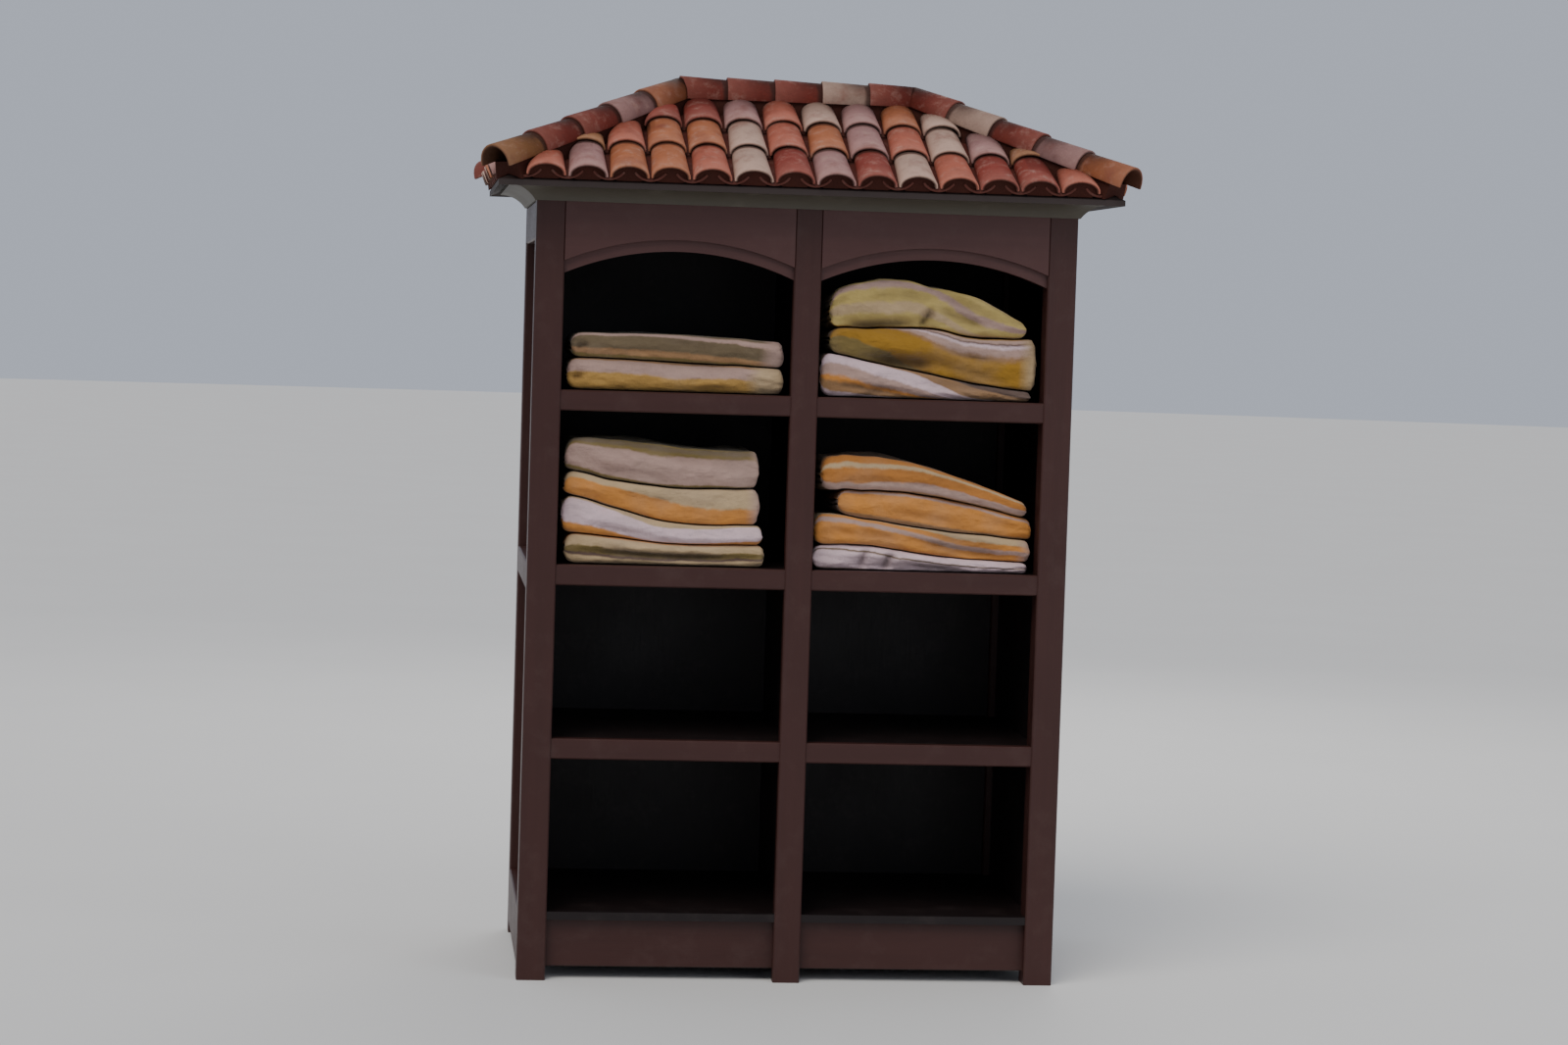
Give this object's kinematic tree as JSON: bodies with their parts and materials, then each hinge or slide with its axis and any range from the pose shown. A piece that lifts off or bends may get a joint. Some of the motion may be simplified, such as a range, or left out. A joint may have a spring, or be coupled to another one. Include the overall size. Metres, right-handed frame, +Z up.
{
  "type": "towel hut",
  "caption": "Open hut of plastic lumber for folded beach towels, with shelves behind arched openings, a cove moulding and a small hipped roof of barrel tiles.",
  "frame": {"origin": "on the ground, under the middle of the cabinet", "axes": "+Z up, -Y out of the open front, +X to the right as seen from the front"},
  "size_m": [1.5468, 0.9668, 2.158],
  "materials": {
    "lumber": "satin",
    "sheet": "satin",
    "shelf": "satin",
    "moulding": "satin",
    "boarding": "matt",
    "tile": "matt",
    "cap": "matt",
    "towel_gold": "terry",
    "towel_tan": "terry"
  },
  "bodies": {
    "root": {"front_post_left": "lumber", "front_post_right": "lumber", "back_post_left": "lumber", "back_post_right": "lumber", "front_centre_stile": "lumber", "back_centre_stile": "lumber", "arched_head_left": "lumber", "arched_head_right": "lumber", "shelf_rails_lower": "lumber", "shelf_rails_middle": "lumber", "shelf_rails_upper": "lumber", "plinth_rails": "lumber", "side_rails_left": "lumber", "side_rails_right": "lumber", "back_rails": "lumber", "shelf_cleats_left": "lumber", "shelf_cleats_right": "lumber", "side_panel_left": "sheet", "side_panel_right": "sheet", "back_panel": "sheet", "centre_divider": "sheet", "ceiling_panel": "sheet", "shelf_bottom_left": "shelf", "shelf_bottom_right": "shelf", "shelf_lower_left": "shelf", "shelf_lower_right": "shelf", "shelf_middle_left": "shelf", "shelf_middle_right": "shelf", "shelf_upper_left": "shelf", "shelf_upper_right": "shelf", "crown_front": "moulding", "crown_back": "moulding", "crown_left": "moulding", "crown_right": "moulding", "deck_front": "boarding", "deck_back": "boarding", "deck_left": "boarding", "deck_right": "boarding", "tiles_front": "tile", "tiles_back": "tile", "tiles_left": "tile", "tiles_right": "tile", "ridge_cap": "cap", "hip_caps_front": "cap", "hip_caps_back": "cap", "towels_upper_left": "towel_gold", "towels_upper_right": "towel_gold", "towels_middle_left": "towel_tan", "towels_middle_right": "towel_tan"}
  },
  "joints": []
}
